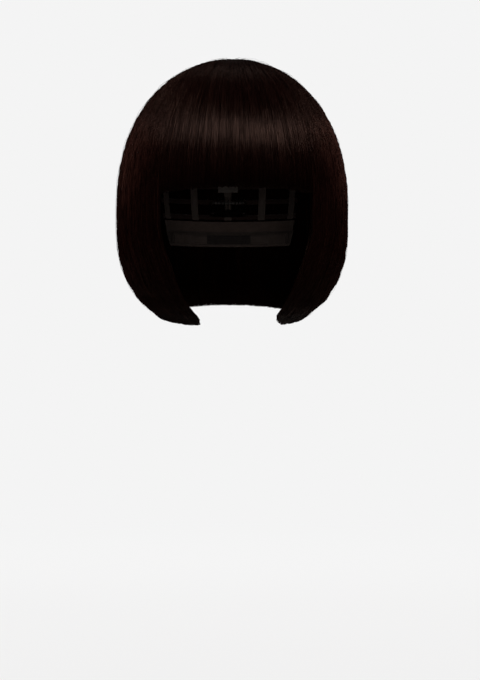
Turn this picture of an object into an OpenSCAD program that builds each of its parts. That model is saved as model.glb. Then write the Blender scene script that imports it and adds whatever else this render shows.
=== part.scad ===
// Bob-cut costume wig: a fringe, two side curtains and a back curtain of hair on a wefted,
// adjustable cap. All sizes are in millimetres.
// The wig faces -Y, +X is the wearer's left and +Z is up. The origin is the centre of the head's
// circumference, at brow height. Azimuths are counted from the front (-Y) towards +X.

/* [Head] */
// Half the width of the head at its circumference
head_a = 77; // [74:1:79]
// Half the length of the head at its circumference
head_b = 93; // [90:1:95]
// Height of the crown above the circumference
head_top = 86; // [83:1:88]
// Half-height of the ellipsoid that the head follows below the circumference
head_low = 120; // [112:1:130]

/* [Hair] */
// Half the width of the hair at its widest
hair_w = 100; // [98:1:108]
// How far the hair reaches in front of the origin
hair_front = 111; // [110:1:118]
// How far the hair reaches behind the origin
hair_back_depth = 114; // [112:1:122]
// Height of the top of the hair
hair_top = 99; // [97:1:104]
// Height at which the hair stops widening
belt_z = -26; // [-32:1:-20]
// Height at which the hair starts to curl in
curl_z = -45; // [-50:1:-40]
// Height of the fringe's hem
fringe_hem_z = -23; // [-25:1:-10]
// Height of the hem at the front edge of each side curtain
hem_front = -134; // [-135:1:-126]
// How much higher the hem is at the back than at the front
hem_rise = 19; // [10:1:24]
// Thickness of the hair at its hem
hem_thick = 8; // [6:0.5:10]
// Azimuth of the side curtain's front edge beside the eyes
face_edge = 40; // [36:1:44]

/* [Cap] */
// Width of the hairline band and of the nape band, in degrees of polar angle
band_deg = 7; // [5:0.5:8]

/* [Adjusters] */
// Height of the adjuster straps
strap_h = 8; // [6:0.5:8]
// Thickness of the adjuster straps
strap_t = 1; // [0.8:0.1:1]
// Angle from the centre back to the inner end of each strap
strap_inner = 20; // [18:0.5:22]

/* [Combs] */
// Length of each snap comb
comb_l = 32; // [28:1:34]
// Number of teeth on each comb
comb_teeth = 9; // [6:1:10]
// Length of a tooth
tooth_l = 12; // [11:0.5:14]

/* [Hidden] */

hair_colour = [0.09, 0.05, 0.045];
net_colour = [0.29, 0.25, 0.24];
tape_colour = [0.36, 0.32, 0.30];
skin_colour = [0.80, 0.64, 0.52];
satin_colour = [0.40, 0.34, 0.31];
steel_colour = [0.62, 0.62, 0.64];
silicone_colour = [0.30, 0.28, 0.27];
label_colour = [0.46, 0.43, 0.40];

// Number of vertical elastic tapes at the back
ribs = 5;

// Layers of the cap, as distances outside the head
net_layer = [0, 0.6];
rib_layer = [0.7, 1.3];
weft_layer = [1.8, 2.9];
inner_band_layer = [-1.6, -0.4];
hair_gap = 6;

// Hair profile
curl_h = 95;
curl_power = 2.4;
dome_h = hair_top - belt_z;
dome_power = 2.11;
hem_azimuth = 40;

// Below corner_z, how many degrees the front corner of each side curtain comes forward, and how
// many are trimmed off it again at the hem
corner_z = -118;
corner_left = [1, 33];
corner_right = [5, 16];

// Where the hair solids start and end
belt_polar = acos(belt_z / (head_low + hair_gap));
crown_end = 0.65;
curtain_start_in = 0.66;
curtain_start_out = 0.70;
side_end = 119;
back_start = 121;
fringe_gap = 1.3;

// Cap outline, as azimuths and polar angles
crown_polar = 62;
hairline_polar = 64;
hairline_end = 66;
hairline_drop = 8;
ear_polar = 88;
back_edge = 128;
nape_top_polar = 108;
nape_polar = 120;
tab_azimuth = [64, 82];
tab_polar = [89, 101];

// Circle that the adjusters run on, behind the nape
strap_centre_y = 18.4;
strap_r = 56.9;
strap_z = -54;
strap_outer = 60;
channel_start = 38;
channel_end = 61;
strap_tab_deg = 14;
strip_deg = 34;

// Combs: the azimuth, polar angle and radius of curvature of each
comb_depth = -5;
comb_front = [0, 58, 54];
comb_side = [60, 73, 97];
comb_back = [180, 105, 60];
grip_out = 1.5;
grip_z = 10;
end_t = 0.8;
pin_r = 0.5;
pin_play = 0.06;
bar_r = 0.4;
barrel_r = 0.9;

// ---- Surfaces ----

// A point on the head's ellipsoid, pushed out by off
function cap_point(azimuth, polar, off) =
    let (low = cos(polar) < 0)
    [
        (head_a + off) * sin(polar) * sin(azimuth),
        -(head_b + off) * sin(polar) * cos(azimuth),
        ((low ? head_low : head_top) + off) * cos(polar)
    ];

function depth_at(azimuth) = cos(azimuth) > 0 ? hair_front : hair_back_depth;

// Share of the full width that the hair has at height z below the belt
function curl_share(z) =
    z > curl_z ? 1 : pow(1 - pow((curl_z - z) / curl_h, curl_power), 1 / curl_power);

// Share of the full width that the hair has on the dome above the belt
function dome_share(m) = pow(1 - pow(cos(90 * m), dome_power), 1 / dome_power);

// The hem is lowest at the face and rises towards the back, slowly at first
function hem_z(azimuth) =
    let (
        turn = abs(azimuth > 180 ? azimuth - 360 : azimuth),
        share = max(0, (turn - hem_azimuth) / (180 - hem_azimuth))
    )
    hem_front + hem_rise * pow(sin(90 * share), 2);

// Along a meridian, m runs from 0 at the apex through 1 at the belt to 2 at the hem
function hair_z(azimuth, m) =
    m < 1 ? belt_z + dome_h * cos(90 * m) : belt_z + (hem_z(azimuth) - belt_z) * (m - 1);
function hair_share(azimuth, m) = m < 1 ? dome_share(m) : curl_share(hair_z(azimuth, m));

function hair_outside(azimuth, m) =
    let (share = hair_share(azimuth, m))
    [
        hair_w * share * sin(azimuth),
        -depth_at(azimuth) * share * cos(azimuth),
        hair_z(azimuth, m)
    ];

// The inner surface follows the cap down to the belt, then thins towards the hem
function thickness(at_belt, m) = at_belt + (hem_thick - at_belt) * (m - 1);
function hair_inside(azimuth, m) =
    m < 1 ? cap_point(azimuth, belt_polar * m, hair_gap)
        : let (
            share = hair_share(azimuth, m),
            belt_share = sin(belt_polar),
            deep = depth_at(azimuth),
            thick_x = thickness(hair_w - (head_a + hair_gap) * belt_share, m),
            thick_y = thickness(deep - (head_b + hair_gap) * belt_share, m)
        )
        [
            (hair_w * share - thick_x) * sin(azimuth),
            -(deep * share - thick_y) * cos(azimuth),
            hair_z(azimuth, m)
        ];

function mix(a, b, t) = a + (b - a) * t;
function ease(t) = let (c = max(0, min(1, t))) c * c * (3 - 2 * c);

// The curtain's front edge comes forward a little below the cheek, and its corner is rounded off
function front_edge(z, corner) =
    face_edge - 5 * ease((-50 - z) / 40) - corner[0] * ease((corner_z - z) / 10)
    + corner[1] * pow(max(0, (corner_z - z) / (corner_z - hem_front)), 3);

// Azimuth on the inner surface that is as far to the side as this azimuth on the outer one, so
// that an edge of the hair is cut straight back
function inner_edge(azimuth, m) = asin(min(0.98, hair_outside(azimuth, m)[0] / hair_inside(90, m)[0]));

// A square mapped onto a disc, as azimuth and share of the disc's radius
function disc(u, v) =
    let (
        s = 2 * u - 1,
        t = 2 * v - 1,
        x = s * sqrt(1 - t * t / 2),
        y = -t * sqrt(1 - s * s / 2)
    )
    [atan2(x, -y), min(1, norm([x, y]))];

// ---- Shells ----

// A closed shell between two surfaces, each a function of u and v from 0 to 1. u runs
// counter-clockwise seen from above, and v runs down.
module shell(outside, inside, nu, nv) {
    side = [for (j = [0:nv]) for (i = [0:nu]) [i / nu, j / nv]];
    points = concat(
        [for (p = side) outside(p[0], p[1])],
        [for (p = side) inside(p[0], p[1])]
    );
    n = len(side);
    function o(i, j) = j * (nu + 1) + i;
    function k(i, j) = n + o(i, j);
    faces = [
        for (j = [0:nv - 1]) for (i = [0:nu - 1]) each [
            [o(i, j), o(i + 1, j), o(i + 1, j + 1)],
            [o(i, j), o(i + 1, j + 1), o(i, j + 1)],
            [k(i, j), k(i + 1, j + 1), k(i + 1, j)],
            [k(i, j), k(i, j + 1), k(i + 1, j + 1)]
        ],
        for (i = [0:nu - 1]) each [
            [o(i + 1, 0), o(i, 0), k(i, 0)],
            [o(i + 1, 0), k(i, 0), k(i + 1, 0)],
            [o(i, nv), o(i + 1, nv), k(i + 1, nv)],
            [o(i, nv), k(i + 1, nv), k(i, nv)]
        ],
        for (j = [0:nv - 1]) each [
            [o(0, j), o(0, j + 1), k(0, j + 1)],
            [o(0, j), k(0, j + 1), k(0, j)],
            [o(nu, j + 1), o(nu, j), k(nu, j)],
            [o(nu, j + 1), k(nu, j), k(nu, j + 1)]
        ]
    ];
    polyhedron(points, faces);
}

// A strip of fabric on the cap, between two azimuths and two polar angles that may depend on
// the azimuth's share u
module strip(azimuths, polar_from, polar_to, layer, nu, nv) {
    shell(
        function(u, v)
            cap_point(mix(azimuths[0], azimuths[1], u), mix(polar_from(u), polar_to(u), v), layer[1]),
        function(u, v)
            cap_point(mix(azimuths[0], azimuths[1], u), mix(polar_from(u), polar_to(u), v), layer[0]),
        nu, nv
    );
}

// A round piece on the crown
module crown_piece(polar, layer, n) {
    shell(
        function(u, v) let (d = disc(u, v)) cap_point(d[0], polar * d[1], layer[1]),
        function(u, v) let (d = disc(u, v)) cap_point(d[0], polar * d[1], layer[0]),
        n, n
    );
}

module other_side() mirror([1, 0, 0]) children();

// ---- Hair ----

module hair_crown() {
    color(hair_colour)
        shell(
            function(u, v) let (d = disc(u, v)) hair_outside(d[0], crown_end * d[1]),
            function(u, v) let (d = disc(u, v)) hair_inside(d[0], crown_end * d[1]),
            16, 16
        );
}

module hair_fringe() {
    hem_m = acos((fringe_hem_z - belt_z) / dome_h) / 90;
    function half_in(m) = inner_edge(face_edge, m) - fringe_gap;
    color(hair_colour)
        shell(
            function(u, v)
                let (m = mix(curtain_start_out, hem_m, v), half = face_edge - fringe_gap)
                hair_outside(mix(-half, half, u), m),
            function(u, v)
                let (m = mix(curtain_start_in, hem_m, v))
                hair_inside(mix(-half_in(m), half_in(m), u), m),
            16, 8
        );
}

module hair_side(corner) {
    function edge(m) = front_edge(hair_z(face_edge, m), corner);
    color(hair_colour)
        shell(
            function(u, v)
                let (m = mix(curtain_start_out, 2, v))
                hair_outside(mix(edge(m), side_end, u), m),
            function(u, v)
                let (m = mix(curtain_start_in, 2, v))
                hair_inside(mix(inner_edge(edge(m), m), side_end, u), m),
            10, 14
        );
}

module hair_back() {
    color(hair_colour)
        shell(
            function(u, v)
                hair_outside(mix(back_start, 360 - back_start, u), mix(curtain_start_out, 2, v)),
            function(u, v)
                hair_inside(mix(back_start, 360 - back_start, u), mix(curtain_start_in, 2, v)),
            16, 14
        );
}

// ---- Cap ----

module crown_net() color(net_colour) crown_piece(crown_polar, net_layer, 18);

module crown_skin_top() color(skin_colour) crown_piece(20, [0.8, 1.3], 8);

module front_band() {
    rim = function(u) hairline_polar + hairline_drop * pow(2 * u - 1, 2);
    color(satin_colour)
        strip(
            [-hairline_end, hairline_end],
            function(u) rim(u) - band_deg, rim, inner_band_layer, 20, 2
        );
}

module side_panel_left() {
    color(net_colour)
        strip([62, back_edge], function(u) crown_polar + 0.8, function(u) ear_polar, net_layer, 9, 4);
}

module side_binding_left() {
    color(tape_colour)
        strip(
            [tab_azimuth[1] + 1, back_edge],
            function(u) ear_polar - 3, function(u) ear_polar + 0.6, inner_band_layer, 7, 1
        );
}

module nape_panel() {
    color(satin_colour)
        strip(
            [back_edge, 360 - back_edge],
            function(u) nape_top_polar, function(u) nape_polar, net_layer, 16, 2
        );
}

module nape_band() {
    color(tape_colour)
        strip(
            [back_edge - 2, 362 - back_edge],
            function(u) nape_polar - band_deg, function(u) nape_polar, inner_band_layer, 16, 1
        );
}

module size_label() {
    color(label_colour)
        strip([173, 187], function(u) 84, function(u) 95, [-1.3, -0.9], 3, 2);
}

// One of the vertical elastic tapes that carry the wefts at the back
module rib_tape(i) {
    middle = mix(back_edge + 5, 355 - back_edge, i / (ribs - 1));
    color(tape_colour)
        strip(
            [middle - 2.5, middle + 2.5],
            function(u) crown_polar + 0.8, function(u) nape_top_polar - 0.8, rib_layer, 1, 8
        );
}

// One row of machine-sewn hair
module weft(azimuths, polar, nu) {
    color(hair_colour)
        strip(azimuths, function(u) polar - 1, function(u) polar + 1, weft_layer, nu, 1);
}

module weft_crown(i) weft([4, 356], 26 + 12 * i, 24);

module weft_fringe(i) weft([-54, 54], 50 + 7 * i, 12);

// The first three rows run from ear to ear, and the rest fill the back
module weft_back(i) {
    reach = i < 3 ? tab_azimuth[0] : back_edge + 1;
    weft([reach, 360 - reach], 66 + 6.6 * i, i < 3 ? 24 : 12);
}

module ear_tab_left() {
    middle = (tab_azimuth[0] + tab_azimuth[1]) / 2;
    width = tab_azimuth[1] - tab_azimuth[0];
    function azimuth(u, v) = middle + (u - 0.5) * width * (1 - 0.45 * v * v);
    color(satin_colour)
        shell(
            function(u, v) cap_point(azimuth(u, v), mix(tab_polar[0], tab_polar[1], v), 0.8),
            function(u, v) cap_point(azimuth(u, v), mix(tab_polar[0], tab_polar[1], v), -0.4),
            6, 5
        );
}

module ear_stay_left() {
    color(steel_colour)
        strip(
            [71.8, 74.2],
            function(u) tab_polar[0] + 1, function(u) tab_polar[1] - 2, [-1.4, -0.6], 1, 4
        );
}

// ---- Adjusters ----

// An arc around the nape between two angles from the centre back, with the profile that is its child
module nape_arc(from, to) {
    translate([0, strap_centre_y, strap_z])
        rotate_extrude(angle = to - from, start = 90 - to, $fn = 96)
            children();
}

module strap_profile(grow_r, grow_z) {
    translate([strap_r - grow_r, -strap_h / 2 - grow_z])
        square([strap_t + 2 * grow_r, strap_h + 2 * grow_z]);
}

module strap_channel_left() {
    color(tape_colour)
        nape_arc(channel_start, channel_end)
            difference() {
                strap_profile(0.7, 1.2);
                strap_profile(0.3, 0.4);
            }
}

module strap_left() {
    color(satin_colour)
        nape_arc(strap_inner, strap_outer)
            strap_profile(0, 0);
}

// Hook tape on the outer face of the strap's free end
module strap_tab_left() {
    color(net_colour)
        nape_arc(strap_inner, strap_inner + strap_tab_deg)
            translate([strap_r + strap_t, -strap_h / 2 + 0.5])
                square([0.7, strap_h - 1]);
}

// Loop tape that both straps grip
module loop_strip() {
    color(net_colour)
        nape_arc(-strip_deg, strip_deg)
            translate([strap_r + strap_t + 0.9, -strap_h / 2])
                square([0.8, strap_h]);
}

// ---- Combs ----

// Puts a child on the cap: its Y points out of the head and its Z towards the crown
module on_cap(azimuth, polar, off) {
    height = cos(polar) < 0 ? head_low : head_top;
    steep = [
        sin(polar) * sin(azimuth) / head_a,
        -sin(polar) * cos(azimuth) / head_b,
        cos(polar) / height
    ];
    out = steep / norm(steep);
    along = [out[1], -out[0], 0] / norm([out[0], out[1]]);
    up = cross(along, out);
    at = cap_point(azimuth, polar, off);
    multmatrix([
        [along[0], out[0], up[0], at[0]],
        [along[1], out[1], up[1], at[1]],
        [along[2], out[2], up[2], at[2]]
    ])
        children();
}

// An arc along the comb's curve, shorter than the comb by trim at each end, with the profile
// that is its child
module comb_arc(bend_r, trim) {
    half = asin(comb_l / 2 / bend_r) - trim / bend_r * 180 / PI;
    translate([0, -bend_r, 0])
        rotate_extrude(angle = 2 * half, start = 90 - half, $fn = 96)
            children();
}

function comb_sag(bend_r) = bend_r - sqrt(bend_r * bend_r - comb_l * comb_l / 4);

// The sewn-in spring frame: a plate with sewing holes, the snap bar above it and the end posts
// with the leaf's pins
module comb_frame(bend_r) {
    half = asin(comb_l / 2 / bend_r);
    color(steel_colour) {
        difference() {
            comb_arc(bend_r, 0)
                translate([bend_r + 1, -3])
                    square([0.6, 5.6]);
            for (share = [-0.7, 0, 0.7])
                translate([0, -bend_r, -1.6])
                    rotate([0, 0, share * half])
                        rotate([-90, 0, 0])
                            cylinder(r = 0.6, h = bend_r + 3, $fn = 24);
        }
        comb_arc(bend_r, 0)
            translate([bend_r + grip_out, grip_z])
                circle(r = bar_r, $fn = 24);
        for (s = [-1, 1])
            translate([s * comb_l / 2, -comb_sag(bend_r), 0]) {
                translate([-end_t / 2, -0.9, -1.2])
                    cube([end_t, 2.4, 2.4]);
                translate([-end_t / 2, 0.7, -1.2])
                    cube([end_t, 1, grip_z + 1.7]);
                translate([-s, 0, 0])
                    rotate([0, 90, 0])
                        cylinder(r = pin_r, h = 2, center = true, $fn = 24);
            }
    }
}

// The silicone sleeve on the snap bar
module comb_grip(bend_r) {
    color(silicone_colour)
        comb_arc(bend_r, 2.2)
            translate([bend_r + grip_out, grip_z])
                difference() {
                    circle(r = 1, $fn = 24);
                    circle(r = bar_r + 0.05, $fn = 24);
                }
}

// The toothed leaf, which swings on the pins
module comb_leaf(bend_r) {
    tooth_half = asin(comb_l / 2 / bend_r) - 3.4 / bend_r * 180 / PI;
    color(steel_colour) {
        comb_arc(bend_r, 2)
            translate([bend_r - 0.3, 0.4])
                square([0.6, 2.8]);
        for (s = [-1, 1])
            translate([s * comb_l / 2, -comb_sag(bend_r), 0])
                rotate([0, 90, 0])
                    difference() {
                        translate([0, 0, -s * 1.75])
                            cylinder(r = barrel_r, h = 2.3, center = true, $fn = 24);
                        translate([0, 0, -s])
                            cylinder(r = pin_r + pin_play, h = 2.2, center = true, $fn = 24);
                    }
        for (i = [0:comb_teeth - 1])
            translate([0, -bend_r, 2.8])
                rotate([0, 0, tooth_half * (2 * i / (comb_teeth - 1) - 1)])
                    translate([0, bend_r, 0]) {
                        cylinder(r = 0.4, h = tooth_l, $fn = 24);
                        translate([0, 0, tooth_l])
                            sphere(r = 0.4, $fn = 24);
                    }
    }
}

// The part of a comb that is named: frame, grip or leaf
module comb(place, part) {
    on_cap(place[0], place[1], comb_depth) {
        if (part == "frame") comb_frame(place[2]);
        if (part == "grip") comb_grip(place[2]);
        if (part == "leaf") comb_leaf(place[2]);
    }
}

hair_crown();
hair_fringe();
hair_side(corner_left);  // hair_side_left
other_side() hair_side(corner_right);  // hair_side_right
hair_back();
crown_net();
crown_skin_top();
front_band();
side_panel_left();
other_side() side_panel_left();  // side_panel_right
side_binding_left();
other_side() side_binding_left();  // side_binding_right
nape_panel();
nape_band();
size_label();
for (i = [0:ribs - 1])
    rib_tape(i);
for (i = [0:1])
    weft_crown(i);
for (i = [0:1])
    weft_fringe(i);
for (i = [0:6])
    weft_back(i);
ear_tab_left();
other_side() ear_tab_left();  // ear_tab_right
ear_stay_left();
other_side() ear_stay_left();  // ear_stay_right
strap_channel_left();
other_side() strap_channel_left();  // strap_channel_right
strap_left();
other_side() strap_left();  // strap_right
strap_tab_left();
other_side() strap_tab_left();  // strap_tab_right
loop_strip();
for (part = ["frame", "grip", "leaf"]) {
    comb(comb_front, part);
    comb(comb_side, part);
    other_side() comb(comb_side, part);
    comb(comb_back, part);
}
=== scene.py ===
import math

import bpy
import numpy as np
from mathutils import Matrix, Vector


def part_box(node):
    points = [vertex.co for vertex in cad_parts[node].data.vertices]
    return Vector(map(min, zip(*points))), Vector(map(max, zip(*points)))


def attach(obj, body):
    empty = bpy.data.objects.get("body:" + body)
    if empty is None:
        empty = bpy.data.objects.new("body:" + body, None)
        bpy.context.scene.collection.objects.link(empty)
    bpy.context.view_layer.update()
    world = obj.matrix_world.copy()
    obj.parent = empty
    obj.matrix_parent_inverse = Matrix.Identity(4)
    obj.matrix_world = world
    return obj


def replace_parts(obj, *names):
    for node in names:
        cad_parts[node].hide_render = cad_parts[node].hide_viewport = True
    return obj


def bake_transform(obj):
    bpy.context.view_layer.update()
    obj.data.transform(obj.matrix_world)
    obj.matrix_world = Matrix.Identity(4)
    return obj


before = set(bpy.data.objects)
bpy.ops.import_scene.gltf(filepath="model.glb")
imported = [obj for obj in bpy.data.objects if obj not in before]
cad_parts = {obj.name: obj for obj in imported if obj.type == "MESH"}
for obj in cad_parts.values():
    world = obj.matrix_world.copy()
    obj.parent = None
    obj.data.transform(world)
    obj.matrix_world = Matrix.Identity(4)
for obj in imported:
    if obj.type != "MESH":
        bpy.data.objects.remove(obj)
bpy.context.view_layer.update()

RNG = np.random.default_rng(20)

# ---- sizes, in metres and degrees

# The hair's outer surface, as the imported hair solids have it
HAIR_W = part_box("hair_side_left")[1].x
HAIR_FRONT = -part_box("hair_fringe")[0].y
HAIR_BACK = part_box("hair_back")[1].y
HAIR_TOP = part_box("hair_crown")[1].z
HEM_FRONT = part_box("hair_side_left")[0].z
HEM_RISE = 0.019
FRINGE_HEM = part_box("hair_fringe")[0].z
FRINGE_ARCH = 0.0036
HEM_AZIMUTH = 40
BELT_Z = -0.026
CURL_Z = -0.045
CURL_H = 0.095
CURL_POWER = 2.4
DOME_POWER = 2.11
CORNER_Z = -0.118
HEM_THICK = 0.008
DOME_H = HAIR_TOP - BELT_Z

# The head that the cap follows
HEAD_A = 0.077
HEAD_B = 0.093
HEAD_TOP = 0.086
HEAD_LOW = 0.120
HAIR_GAP = 0.006
BELT_POLAR = math.degrees(math.acos(BELT_Z / (HEAD_LOW + HAIR_GAP)))

# Where the hair parts into its sections
FACE_EDGE = 40
SIDE_END = 120
CORNERS = {"side_left": (1, 33), "side_right": (5, 16)}

# The cap's outline, as azimuths and polar angles, and its layers outside the head
CROWN_POLAR = 62
SKIN_POLAR = 20
HAIRLINE_POLAR = 64
HAIRLINE_DROP = 8
HAIRLINE_END = 66
BAND_DEG = 7
EAR_POLAR = 88
BACK_EDGE = 128
NAPE_TOP_POLAR = 108
NAPE_POLAR = 120
TAB_AZIMUTH = (64, 82)
TAB_POLAR = (89, 101)
RIBS = 5
NET_LAYER = (0.0, 0.0006)
SKIN_LAYER = (0.0008, 0.0013)
RIB_LAYER = (0.0007, 0.0013)
WEFT_LAYER = (0.0018, 0.0029)
BAND_LAYER = (-0.0016, -0.0004)
LABEL_LAYER = (-0.0013, -0.0009)
TAB_LAYER = (-0.0004, 0.0008)

# The circle behind the nape that the adjusters run on
STRAP_CENTRE_Y = 0.0184
STRAP_R = 0.0569
STRAP_Z = -0.054
STRAP_H = 0.008
STRAP_T = 0.001
STRAP_ANGLES = (20, 60)
STRAP_TAB_ANGLES = (20, 34)
CHANNEL_ANGLES = (38, 61)
STRIP_ANGLES = (-34, 34)

# The crown of the head, where the fibres fan out from, is a little behind the middle
WHORL_BACK = 0.013

# ---- camera

CAMERA_DISTANCE = 2.0
CAMERA_AZIMUTH = math.radians(-2.7)
VIEW_HEIGHT = 0.5916
VIEW_RIGHT = 0.0067
VIEW_Z = -0.1444
SENSOR_MM = 36


def add_camera():
    data = bpy.data.cameras.new("camera")
    data.sensor_fit = "VERTICAL"
    data.sensor_height = SENSOR_MM
    data.sensor_width = SENSOR_MM
    data.lens = SENSOR_MM * CAMERA_DISTANCE / VIEW_HEIGHT
    camera = bpy.data.objects.new("camera", data)
    forward = Vector((-math.sin(CAMERA_AZIMUTH), math.cos(CAMERA_AZIMUTH), 0))
    right = Vector((forward.y, -forward.x, 0))
    camera.location = right * VIEW_RIGHT - forward * CAMERA_DISTANCE + Vector((0, 0, VIEW_Z))
    camera.rotation_euler = (math.radians(90), 0, CAMERA_AZIMUTH)
    bpy.context.scene.collection.objects.link(camera)
    bpy.context.scene.camera = camera


# ---- the hair's surfaces


def ease(t):
    t = np.clip(t, 0, 1)
    return t * t * (3 - 2 * t)


def mix(a, b, t):
    return a + (b - a) * t


def hem_z(azimuth):
    turn = np.abs(np.where(azimuth > 180, azimuth - 360, azimuth))
    share = np.clip((turn - HEM_AZIMUTH) / (180 - HEM_AZIMUTH), 0, 1)
    return HEM_FRONT + HEM_RISE * np.sin(share * math.pi / 2) ** 2


def curl_share(z):
    drop = np.clip((CURL_Z - z) / CURL_H, 0, 0.995)
    return (1 - drop**CURL_POWER) ** (1 / CURL_POWER)


def height(azimuth, m):
    dome = BELT_Z + DOME_H * np.cos(np.minimum(m, 1) * math.pi / 2)
    return np.where(m < 1, dome, BELT_Z + (hem_z(azimuth) - BELT_Z) * (m - 1))


def share_at(azimuth, m):
    up = np.cos(np.minimum(m, 1) * math.pi / 2)
    dome = (1 - np.clip(up, 0, 1) ** DOME_POWER) ** (1 / DOME_POWER)
    return np.where(m < 1, dome, curl_share(height(azimuth, m)))


def depth_at(azimuth):
    return np.where(np.cos(np.radians(azimuth)) > 0, HAIR_FRONT, HAIR_BACK)


def outside(azimuth, m):
    """Points on the hair's outer surface. m is 0 at the apex, 1 at the belt and 2 at the hem."""
    a, share = np.radians(azimuth), share_at(azimuth, m)
    across, along = HAIR_W * share * np.sin(a), -depth_at(azimuth) * share * np.cos(a)
    return np.stack([across, along, height(azimuth, m)], -1)


def cap_point(azimuth, polar, off):
    """Points on the head, pushed out by off."""
    a, p = np.radians(azimuth), np.radians(polar)
    up = np.where(np.cos(p) < 0, HEAD_LOW, HEAD_TOP) + off
    return np.stack([
        (HEAD_A + off) * np.sin(p) * np.sin(a),
        -(HEAD_B + off) * np.sin(p) * np.cos(a),
        up * np.cos(p),
    ], -1)


def inside(azimuth, m):
    """Points on the hair's inner surface."""
    a, share = np.radians(azimuth), share_at(azimuth, m)
    belt_share = math.sin(math.radians(BELT_POLAR))
    deep = depth_at(azimuth)
    thick_x = mix(HAIR_W - (HEAD_A + HAIR_GAP) * belt_share, HEM_THICK, m - 1)
    thick_y = mix(deep - (HEAD_B + HAIR_GAP) * belt_share, HEM_THICK, m - 1)
    low = np.stack([
        (HAIR_W * share - thick_x) * np.sin(a),
        -(deep * share - thick_y) * np.cos(a),
        height(azimuth, m),
    ], -1)
    return np.where((m < 1)[..., None], cap_point(azimuth, BELT_POLAR * np.minimum(m, 1), HAIR_GAP), low)


def alike(*values):
    """The values as arrays of one shape."""
    return np.broadcast_arrays(*(np.asarray(value, float) for value in values))


def room_left(p):
    left = 1 - (p[..., 0] / HAIR_W) ** 2 - (p[..., 1] / HAIR_BACK) ** 2
    return np.clip(left, 0.01, 1)


def within(azimuth, m, depth):
    """Points a depth below the outer surface, with the flow's centre moved back to the head's crown."""
    azimuth, m, depth = alike(azimuth, m, depth)
    out, into = outside(azimuth, m), inside(azimuth, m)
    p = out + (into - out) * (depth / thickness_at(azimuth, m))[..., None]
    share = np.clip(share_at(azimuth, m), 0, 1)
    low = p[..., 2] - BELT_Z
    shifted = np.maximum(1 - share, 0) ** 2 * WHORL_BACK
    before = room_left(p)
    p[..., 1] += np.where(m < 1, shifted, 0)
    drop = np.sqrt(room_left(p) / before)
    p[..., 2] = np.where(m < 1, BELT_Z + low * drop, p[..., 2])
    return p


def thickness_at(azimuth, m):
    return np.linalg.norm(inside(azimuth, m) - outside(azimuth, m), axis=-1)


def outward(azimuth, m):
    n = outside(azimuth, m) - inside(azimuth, m)
    return n / np.linalg.norm(n, axis=-1)[..., None]


def front_edge(z, corner):
    """A side curtain's front edge. Its foot comes forward by corner[0] and is trimmed by corner[1]."""
    low = np.clip((CORNER_Z - z) / (CORNER_Z - HEM_FRONT), 0, 1)
    forward = 5 * ease((-0.050 - z) / 0.040) + corner[0] * ease((CORNER_Z - z) / 0.010)
    return FACE_EDGE - forward + corner[1] * low**3


def edge_at(azimuth, m, depth):
    """The azimuth at this depth that is as far to the side as this azimuth on the outer surface."""
    azimuth, m, depth = alike(azimuth, m, depth)
    side = np.full(m.shape, 90.0)
    out, into = outside(side, m)[..., 0], inside(side, m)[..., 0]
    radius = out - np.clip(depth, 0, out - into)
    wanted = outside(azimuth, m)[..., 0]
    return np.degrees(np.arcsin(np.clip(wanted / np.maximum(radius, 1e-4), 0, 0.98)))


# ---- mesh making

STRAND_MAP = "OFBake"
WEAVE_MAP = "weave"
COLUMNS = 64


def add_mesh(name, points, faces, materials, uvs=None, uv_name=WEAVE_MAP):
    """A mesh from an array of points and a list of face arrays, each with the same number of corners."""
    mesh = bpy.data.meshes.new(name)
    points = np.asarray(points, np.float32).reshape(-1, 3)
    corners = np.concatenate([f.ravel() for f in faces]).astype(np.int32)
    totals = np.concatenate([np.full(len(f), f.shape[1]) for f in faces]).astype(np.int32)
    starts = np.concatenate([[0], np.cumsum(totals)[:-1]]).astype(np.int32)
    mesh.vertices.add(len(points))
    mesh.vertices.foreach_set("co", points.ravel())
    mesh.loops.add(len(corners))
    mesh.loops.foreach_set("vertex_index", corners)
    mesh.polygons.add(len(totals))
    mesh.polygons.foreach_set("loop_start", starts)
    mesh.polygons.foreach_set("loop_total", totals)
    mesh.polygons.foreach_set("use_smooth", np.full(len(totals), True))
    mesh.update(calc_edges=True)
    if uvs is not None:
        layer = mesh.uv_layers.new(name=uv_name)
        layer.data.foreach_set("uv", np.asarray(uvs, np.float32).ravel())
    for material in materials:
        mesh.materials.append(material)
    piece = bpy.data.objects.new(name, mesh)
    bpy.context.scene.collection.objects.link(piece)
    return piece


def unit(v):
    return v / (np.linalg.norm(v, axis=-1, keepdims=True) + 1e-12)


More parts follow.
